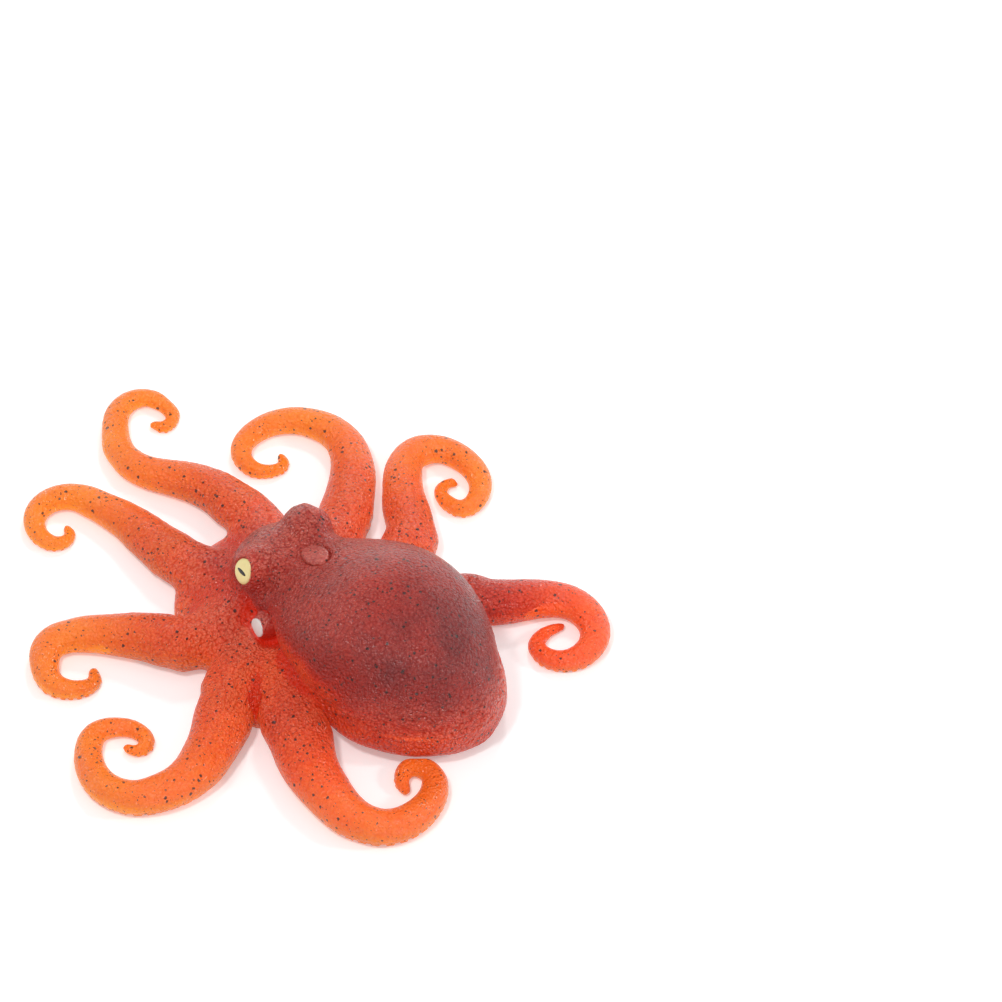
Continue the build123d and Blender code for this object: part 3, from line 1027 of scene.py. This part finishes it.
def oval_disc(half_width, half_length, rings, depth):
    """A closed disc of rings about Z, with its top left flat at zero."""
    bm = bmesh.new()
    bmesh.ops.create_circle(bm, cap_ends=True, segments=64, radius=1.0)
    inner = list(bm.faces)
    for _ in range(rings - 1):
        bmesh.ops.inset_region(bm, faces=inner, thickness=1.0 / rings,
                               use_boundary=True, use_even_offset=False)
    made = bmesh.ops.extrude_edge_only(bm, edges=rim_edges(bm))
    bmesh.ops.translate(bm, verts=new_verts(made), vec=(0, 0, -depth))
    bmesh.ops.holes_fill(bm, edges=rim_edges(bm), sides=0)
    bmesh.ops.scale(bm, verts=bm.verts, vec=(half_width, half_length, 1))
    bmesh.ops.recalc_face_normals(bm, faces=bm.faces)
    return bm


def rolled_edge(share, start):
    """0 inside the start of a rolled edge and 1 at the rim, growing as a square."""
    return max(0.0, (share - start) / (1 - start)) ** 2


def turret_disc(side, half_width, half_height, rings, depth, sunk, edge_roll):
    """A disc of paint on one turret, flatter than its ball and rolled down at its edge."""
    flattening = 0.6 * mm
    bm = oval_disc(half_width, half_height, rings, depth)
    for vert in bm.verts:
        out = math.hypot(vert.co.x, vert.co.y)
        share = math.hypot(vert.co.x / half_width, vert.co.y / half_height)
        across = math.hypot(vert.co.x / eye_half_width, vert.co.y / eye_half_height)
        top = math.sqrt((turret_radius - sunk) ** 2 - out ** 2)
        top -= flattening * (1 - across ** 2)
        low = vert.co.z < -0.5 * depth
        vert.co.z = top - (depth if low else edge_roll * rolled_edge(share, 0.8))
    placed = frame_matrix(*facing_axes(*eye_facing, side), turret_place(side))
    bmesh.ops.transform(bm, verts=bm.verts, matrix=placed)
    return bm


class Nodes:
    """Short ways to add and join shader nodes."""

    def __init__(self, name):
        self.material = bpy.data.materials.new(name)
        self.material.use_nodes = True
        self.tree = self.material.node_tree
        self.shader = self.tree.nodes["Principled BSDF"]

    def add(self, kind, **values):
        node = self.tree.nodes.new(kind)
        for key, value in values.items():
            setattr(node, key, value)
        return node

    def join(self, source, target):
        self.tree.links.new(source, target)

    def attribute(self, name, output="Fac"):
        return self.add("ShaderNodeAttribute", attribute_name=name).outputs[output]

    def math(self, operation, *inputs, clamp=False):
        node = self.add("ShaderNodeMath", operation=operation, use_clamp=clamp)
        for socket, value in zip(node.inputs, inputs):
            if isinstance(value, (int, float)):
                socket.default_value = value
            else:
                self.join(value, socket)
        return node.outputs[0]

    def mix(self, factor, first, second, blend="MIX"):
        node = self.add("ShaderNodeMix", data_type="RGBA", blend_type=blend)
        for socket, value in zip((node.inputs[0], node.inputs[6], node.inputs[7]),
                                 (factor, first, second)):
            if isinstance(value, (int, float)):
                socket.default_value = value
            elif isinstance(value, (tuple, bpy.types.bpy_prop_array)):
                socket.default_value = tuple(value)
            else:
                self.join(value, socket)
        return node.outputs[2]

    def ramp(self, factor, *colours):
        """Colours set at even steps from 0 to 1."""
        node = self.add("ShaderNodeValToRGB")
        stops = node.color_ramp.elements
        while len(stops) < len(colours):
            stops.new(1.0)
        for index, (stop, colour) in enumerate(zip(stops, colours)):
            stop.position = index / (len(colours) - 1)
            stop.color = tuple(colour)
        self.join(factor, node.inputs[0])
        return node.outputs[0]

    def voronoi(self, vector, size):
        node = self.add("ShaderNodeTexVoronoi")
        node.inputs["Scale"].default_value = 1 / size
        self.join(vector, node.inputs["Vector"])
        return node

    def noise(self, vector, size, detail=2.0, roughness=0.5):
        node = self.add("ShaderNodeTexNoise")
        node.inputs["Scale"].default_value = 1 / size
        node.inputs["Detail"].default_value = detail
        node.inputs["Roughness"].default_value = roughness
        self.join(vector, node.inputs["Vector"])
        return node

    def jitter(self, vector, size, reach):
        """Places pushed about by noise, so that cells there have natural outlines."""
        cloud = self.noise(vector, size)
        moved = self.add("ShaderNodeVectorMath", operation="MULTIPLY_ADD")
        self.join(cloud.outputs["Color"], moved.inputs[0])
        moved.inputs[1].default_value = (reach, reach, reach)
        self.join(vector, moved.inputs[2])
        return moved.outputs[0]

    def bump(self, height, distance, strength=1.0):
        node = self.add("ShaderNodeBump")
        node.inputs["Distance"].default_value = distance
        node.inputs["Strength"].default_value = strength
        self.join(height, node.inputs["Height"])
        return node.outputs[0]


def specks(nodes, place, size, most, rarity):
    """Scattered specks of dark paint of many sizes: 1 on a speck and 0 beside it."""
    soft_edge = 0.08 * mm
    cells = nodes.voronoi(nodes.jitter(place, 0.4 * mm, 0.7 * mm), size)
    split = nodes.add("ShaderNodeSeparateColor")
    nodes.join(cells.outputs["Color"], split.inputs[0])
    chance = nodes.math("POWER", split.outputs[0], rarity)
    radius = nodes.math("MULTIPLY", chance, most / size)
    inside = nodes.math("SUBTRACT", radius, cells.outputs["Distance"])
    return nodes.math("MULTIPLY", inside, size / soft_edge, clamp=True)


def rubber(paint):
    """Pebbled, speckled rubber, from glowing orange to maroon, with painted highlights, painted
    shade and a painted glow.
    """
    nodes = Nodes("speckled_rubber")
    place = nodes.attribute("place", "Vector")
    tone = nodes.attribute("tone")
    painted_sheen = nodes.attribute("painted_sheen")
    fold_shade = nodes.attribute("fold_shade")
    even = nodes.attribute("even")
    cloud = nodes.noise(place, 7 * mm, 3.0)
    drift = nodes.math("MULTIPLY_ADD", cloud.outputs["Fac"], 0.16, -0.08)
    shade = nodes.math("ADD", tone, drift, clamp=True)
    base = nodes.ramp(shade, paint.glow, paint.orange, paint.coral, paint.red, paint.maroon)

    # Fine pebbles: high in the middle of each cell, with pits where cells meet
    pebble = nodes.voronoi(nodes.jitter(place, 1.6 * mm, 1.2 * mm), 0.8 * mm)
    grain = nodes.noise(place, 0.5 * mm, 3.0, 0.6).outputs["Fac"]
    crown = nodes.math("SUBTRACT", 1.0, pebble.outputs["Distance"])
    rough_skin = nodes.math("SUBTRACT", 1.0, even)
    # Painted highlight: a pale sheen on the pebbles' crowns, where the painted sheen is high
    pebble_highlight = nodes.math("MULTIPLY", nodes.math("MULTIPLY", painted_sheen, crown), 0.34)
    highlighted = nodes.mix(pebble_highlight, base, paint.pebble_highlight)
    # Painted shade darkens the pits between the pebbles, more on dark tones and less where the
    # skin is even
    pit = nodes.math("MULTIPLY_ADD", crown, -2.6, 1.75, clamp=True)
    pit_depth = nodes.math("MULTIPLY_ADD", tone, 0.5, 0.35)
    pit = nodes.math("MULTIPLY", pit, nodes.math("MULTIPLY", rough_skin, pit_depth))
    pitted = nodes.mix(pit, highlighted, paint.pit, "MULTIPLY")
    # Painted shade in the folds: the colour turns deep red there
    fold_shaded = nodes.mix(nodes.math("MULTIPLY", fold_shade, 0.8), pitted, paint.fold_shade)
    dark = nodes.math("MAXIMUM", specks(nodes, place, 1.2 * mm, 0.52 * mm, 3.3),
                      specks(nodes, place, 0.75 * mm, 0.25 * mm, 1.9))
    colour = nodes.mix(nodes.math("MULTIPLY", dark, 0.92), fold_shaded, paint.speck)

    height = nodes.math("MULTIPLY_ADD", grain, 0.5, crown)
    fine = nodes.bump(height, 1.1 * mm)
    strength = nodes.math("MULTIPLY_ADD", rough_skin, 0.82, 0.18)
    nodes.join(strength, fine.node.inputs["Strength"])
    # Painted glow: the rubber gives off its own colour everywhere, more on the palest tones and
    # in the folds
    thin = nodes.math("MULTIPLY_ADD", tone, -5.0, 1.0, clamp=True)
    glow = nodes.math("MULTIPLY_ADD", fold_shade, 0.1, 0.17)
    inputs = nodes.shader.inputs
    nodes.join(colour, inputs["Base Color"])
    nodes.join(fine, inputs["Normal"])
    nodes.join(nodes.math("MULTIPLY_ADD", grain, 0.2, 0.2), inputs["Roughness"])
    nodes.join(colour, inputs["Emission Color"])
    nodes.join(nodes.math("MULTIPLY_ADD", thin, 0.15, glow), inputs["Emission Strength"])
    inputs["Specular IOR Level"].default_value = 0.3
    inputs["Coat Weight"].default_value = 0.6
    inputs["Coat Roughness"].default_value = 0.12
    nodes.join(fine, inputs["Coat Normal"])
    return nodes.material


def plain_paint(name, colour, roughness):
    """Paint with a faint unevenness."""
    nodes = Nodes(name)
    coordinates = nodes.add("ShaderNodeTexCoord").outputs["Object"]
    cloud = nodes.noise(coordinates, 1.5 * mm, 3.0)
    darker = tuple(0.78 * c for c in colour[:3]) + (1,)
    tint = nodes.mix(nodes.math("MULTIPLY", cloud.outputs["Fac"], 0.5), tuple(colour), darker)
    nodes.join(tint, nodes.shader.inputs["Base Color"])
    nodes.shader.inputs["Roughness"].default_value = roughness
    nodes.join(nodes.bump(cloud.outputs["Fac"], 0.05 * mm, 0.5), nodes.shader.inputs["Normal"])
    return nodes.material


def add_piece(mesh, material, slot, *replaced):
    """A finished piece, in place of the solids that it covers; the slot is not used."""
    obj = new_object(mesh.name, mesh)
    mesh.materials.clear()
    mesh.materials.append(material)
    if replaced:
        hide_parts(*replaced)
    return obj


def flex(obj):
    """Bake the transform of an arm's piece into its mesh."""
    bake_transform(obj)


class OCTOPUS_OT_skin(Operator):
    """Grow the trunk's and the arms' skin"""

    bl_idname = "octopus.skin"
    bl_label = "Rubber skin"

    def execute(self, context):
        scene = context.scene
        whole = whole_skin(scene.octopus_skin)
        bm = bmesh.new()
        bm.from_mesh(whole)
        bpy.data.meshes.remove(whole)
        for arm in arms:
            cut_loose(bm, arm)
        layer = bm.faces.layers.int.new("island")
        for mark, arm in enumerate(arms, 1):
            half_way = arm.line[len(arm.line) // 2]
            mark_island(bm, layer, half_way + Vector((0, 0, 0.5 * arm.half_width)), mark)
        trunk_mark = -1
        mark_island(bm, layer, trunk_top, trunk_mark)
        material = rubber(scene.octopus_paint)
        mesh = closed_piece(keep_island(bm, trunk_mark), "trunk_skin")
        body = add_piece(mesh, material, "mantle_rubber", "mantle_dome", "mantle_rim",
                         "arm_ring", "head", "siphon")
        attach(body, "body")
        body_tree = tree_of(mesh)
        for mark, arm in enumerate(arms, 1):
            part = keep_island(bm, mark)
            if arm.at_rear:
                lean_on_mantle(part, arm, body_tree)
            mesh = closed_piece(part, f"{arm.node}_skin")
            flex(add_piece(mesh, material, "arm_rubber", arm.node))
        bm.free()
        return {"FINISHED"}


class OCTOPUS_OT_suckers(Operator):
    """Set two rows of suckers under each arm"""

    bl_idname = "octopus.suckers"
    bl_label = "Suckers"

    def execute(self, context):
        template = cup_template()
        material = bpy.data.materials["speckled_rubber"]
        for arm in arms:
            tree = tree_of(bpy.data.objects[f"{arm.node}_skin"].data)
            mesh = smooth_mesh(sucker_mesh(arm, tree, template), f"{arm.node}_suckers")
            # Suckers get one tone and a painted sheen all over
            paint_evenly(mesh, tone=0.12, painted_sheen=0.5, even=0.8)
            flex(add_piece(mesh, material, "arm_rubber"))
        bpy.data.meshes.remove(template)
        return {"FINISHED"}


class OCTOPUS_OT_eyes(Operator):
    """Set the two cream eyes with their level pupils"""

    bl_idname = "octopus.eyes"
    bl_label = "Eyes"

    def execute(self, context):
        paint = context.scene.octopus_paint
        cream = plain_paint("cream_paint", paint.eye, 0.3)
        black = plain_paint("black_paint", paint.slit, 0.22)
        for side, name in ((1, "left"), (-1, "right")):
            disc = turret_disc(side, eye_half_width, eye_half_height, rings=10,
                               depth=1.5 * mm, sunk=0.15 * mm, edge_roll=0.3 * mm)
            eye = add_piece(smooth_mesh(disc, f"{name}_eye_disc"), cream, "eye_cream",
                            f"{name}_eye")
            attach(eye, "body")
            slit = turret_disc(side, 1.75 * mm, 0.6 * mm, rings=5,
                               depth=0.6 * mm, sunk=0.08 * mm, edge_roll=0.1 * mm)
            pupil = add_piece(smooth_mesh(slit, f"{name}_pupil_slit"), black, "pupil_black",
                              f"{name}_pupil")
            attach(pupil, "body")
        return {"FINISHED"}


class OCTOPUS_OT_siphon_mouth(Operator):
    """Set the white mouth of the siphon"""

    bl_idname = "octopus.siphon_mouth"
    bl_label = "Siphon mouth"

    def execute(self, context):
        radius = 2.45 * mm
        dome_height = 0.15 * mm
        white = plain_paint("white_paint", context.scene.octopus_paint.mouth, 0.35)
        across, upright, out = facing_axes(*siphon_facing)
        placed = frame_matrix(across, upright, out, siphon_middle + 3.1 * mm * out)
        disc = oval_disc(radius, radius, 8, 0.7 * mm)
        for vert in disc.verts:
            if vert.co.z > -0.1 * mm:
                out_share = math.hypot(vert.co.x, vert.co.y) / radius
                vert.co.z = dome_height * (1 - out_share ** 2)
        bmesh.ops.transform(disc, verts=disc.verts, matrix=placed)
        mouth = add_piece(smooth_mesh(disc, "siphon_mouth_disc"), white, "siphon_white",
                          "siphon_mouth")
        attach(mouth, "body")
        return {"FINISHED"}


class OCTOPUS_OT_plug(Operator):
    """Set the oval plug into the crown of the mantle"""

    bl_idname = "octopus.plug"
    bl_label = "Crown plug"

    def execute(self, context):
        half_width, half_length, depth = 3.2 * mm, 5.2 * mm, 1.8 * mm
        high = 6 * mm
        proud = 0.12 * mm
        edge_roll = 0.45 * mm
        tree = solids_tree("crown_plug", "mantle_dome")
        slope = math.radians(plug_slope)
        out = Vector((0, -math.sin(slope), math.cos(slope)))
        turn = Matrix.Rotation(math.radians(plug_turn), 3, out)
        across = turn @ Vector((1, 0, 0))
        turned = frame_matrix(across, out.cross(across), out, plug_middle)
        bm = oval_disc(half_width, half_length, 12, depth)
        for vert in bm.verts:
            low = vert.co.z < -0.5 * depth
            share = math.hypot(vert.co.x / half_width, vert.co.y / half_length)
            # The rays start a little inside the edge, so that none falls into the groove
            start = turned @ Vector((vert.co.x * 0.95, vert.co.y * 0.95, high))
            rise = high - tree.ray_cast(start, -out)[3]
            rise += -depth if low else proud - edge_roll * rolled_edge(share, 0.84)
            vert.co = turned @ Vector((vert.co.x, vert.co.y, rise))
        bmesh.ops.recalc_face_normals(bm, faces=bm.faces)
        mesh = smooth_mesh(bm, "crown_plug_cap")
        # The plug gets one tone and a strong painted sheen all over
        paint_evenly(mesh, tone=0.93, painted_sheen=0.9, even=0.75)
        cap = add_piece(mesh, bpy.data.materials["speckled_rubber"], "mantle_rubber",
                        "crown_plug")
        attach(cap, "body")
        return {"FINISHED"}


def lay_floor(colour):
    """A plain pale floor, made white in the picture by a faint glow that lights nothing."""
    seen_glow = 0.26
    bm = bmesh.new()
    bmesh.ops.create_grid(bm, x_segments=1, y_segments=1, size=3.0)
    floor = new_object("floor", mesh_from(bm, "floor"))
    nodes = Nodes("floor")
    inputs = nodes.shader.inputs
    inputs["Base Color"].default_value = colour
    inputs["Roughness"].default_value = 0.9
    inputs["Specular IOR Level"].default_value = 0.1
    inputs["Emission Color"].default_value = (1, 1, 1, 1)
    path = nodes.add("ShaderNodeLightPath")
    seen = nodes.math("MAXIMUM", path.outputs["Is Camera Ray"], path.outputs["Is Glossy Ray"])
    nodes.join(nodes.math("MULTIPLY", seen, seen_glow), inputs["Emission Strength"])
    floor.data.materials.append(nodes.material)


def studio_world():
    """A white room that lights softly and is seen as plain white."""
    light = 0.52
    world = bpy.data.worlds.new("studio")
    world.use_nodes = True
    tree = world.node_tree
    background = tree.nodes["Background"]
    background.inputs["Color"].default_value = (1, 1, 1, 1)
    seen = tree.nodes.new("ShaderNodeLightPath").outputs["Is Camera Ray"]
    strength = tree.nodes.new("ShaderNodeMath")
    strength.operation = "MULTIPLY_ADD"
    strength.inputs[1].default_value = 1 - light
    strength.inputs[2].default_value = light
    tree.links.new(seen, strength.inputs[0])
    tree.links.new(strength.outputs[0], background.inputs["Strength"])
    return world


def add_lamp(name, place, size, power):
    """A soft round lamp that faces the object."""
    lamp = bpy.data.lights.new(name, "AREA")
    lamp.shape = "DISK"
    lamp.size = size
    lamp.energy = power
    obj = bpy.data.objects.new(name, lamp)
    obj.location = place
    obj.rotation_euler = (-place).to_track_quat("-Z", "Y").to_euler()
    bpy.context.scene.collection.objects.link(obj)


class OCTOPUS_OT_stage(Operator):
    """Lay the floor, light it softly and set the camera"""

    bl_idname = "octopus.stage"
    bl_label = "Stage"

    def execute(self, context):
        scene = context.scene
        settings = scene.octopus_stage
        lay_floor(settings.floor)
        scene.world = studio_world()
        azimuth = math.radians(settings.azimuth)
        elevation = math.radians(settings.elevation)
        right = Vector((math.cos(azimuth), math.sin(azimuth), 0))
        level = Vector((-math.sin(azimuth), math.cos(azimuth), 0))
        upright = level * math.sin(elevation) + Vector((0, 0, math.cos(elevation)))
        inward = level * math.cos(elevation) - Vector((0, 0, math.sin(elevation)))
        # The ring's middle lies left of and below the picture's middle
        picture = 1002
        ring_x, ring_y = 285, 612.5
        per_pixel = settings.view_width / picture
        target = (right * (picture / 2 - ring_x) + upright * (ring_y - picture / 2)) * per_pixel
        camera = bpy.data.cameras.new("camera")
        camera.sensor_width = 36
        camera.lens = camera.sensor_width * settings.distance / settings.view_width
        holder = bpy.data.objects.new("camera", camera)
        scene.collection.objects.link(holder)
        turned = Matrix((right, upright, -inward)).transposed().to_4x4()
        holder.matrix_world = Matrix.Translation(target - inward * settings.distance) @ turned
        scene.camera = holder
        for name, (away, aside, height, size, power) in lamps.items():
            place = away * level + aside * right + Vector((0, 0, height))
            add_lamp(name, place, size, power)
        scene.view_settings.view_transform = "Standard"
        return {"FINISHED"}


class OCTOPUS_PT_panel(Panel):
    """Sizes, colours and pieces of the octopus"""

    bl_idname = "OCTOPUS_PT_panel"
    bl_label = "Octopus"
    bl_space_type = "VIEW_3D"
    bl_region_type = "UI"
    bl_category = "Octopus"

    def draw(self, context):
        for group in ("octopus_skin", "octopus_paint", "octopus_stage"):
            settings = getattr(context.scene, group)
            for name in settings.bl_rna.properties.keys():
                if name not in ("rna_type", "name"):
                    self.layout.prop(settings, name)
        for step in steps:
            self.layout.operator(step.bl_idname)


steps = (OCTOPUS_OT_skin, OCTOPUS_OT_suckers, OCTOPUS_OT_eyes, OCTOPUS_OT_siphon_mouth,
         OCTOPUS_OT_plug, OCTOPUS_OT_stage)
classes = (SkinSettings, PaintSettings, StageSettings) + steps + (OCTOPUS_PT_panel,)


def register():
    for made in classes:
        register_class(made)
    bpy.types.Scene.octopus_skin = PointerProperty(type=SkinSettings)
    bpy.types.Scene.octopus_paint = PointerProperty(type=PaintSettings)
    bpy.types.Scene.octopus_stage = PointerProperty(type=StageSettings)


def unregister():
    del bpy.types.Scene.octopus_stage
    del bpy.types.Scene.octopus_paint
    del bpy.types.Scene.octopus_skin
    for made in reversed(classes):
        unregister_class(made)


def main():
    register()
    bpy.ops.octopus.skin()
    bpy.ops.octopus.suckers()
    bpy.ops.octopus.eyes()
    bpy.ops.octopus.siphon_mouth()
    bpy.ops.octopus.plug()
    bpy.ops.octopus.stage()


if __name__ == "__main__":
    main()
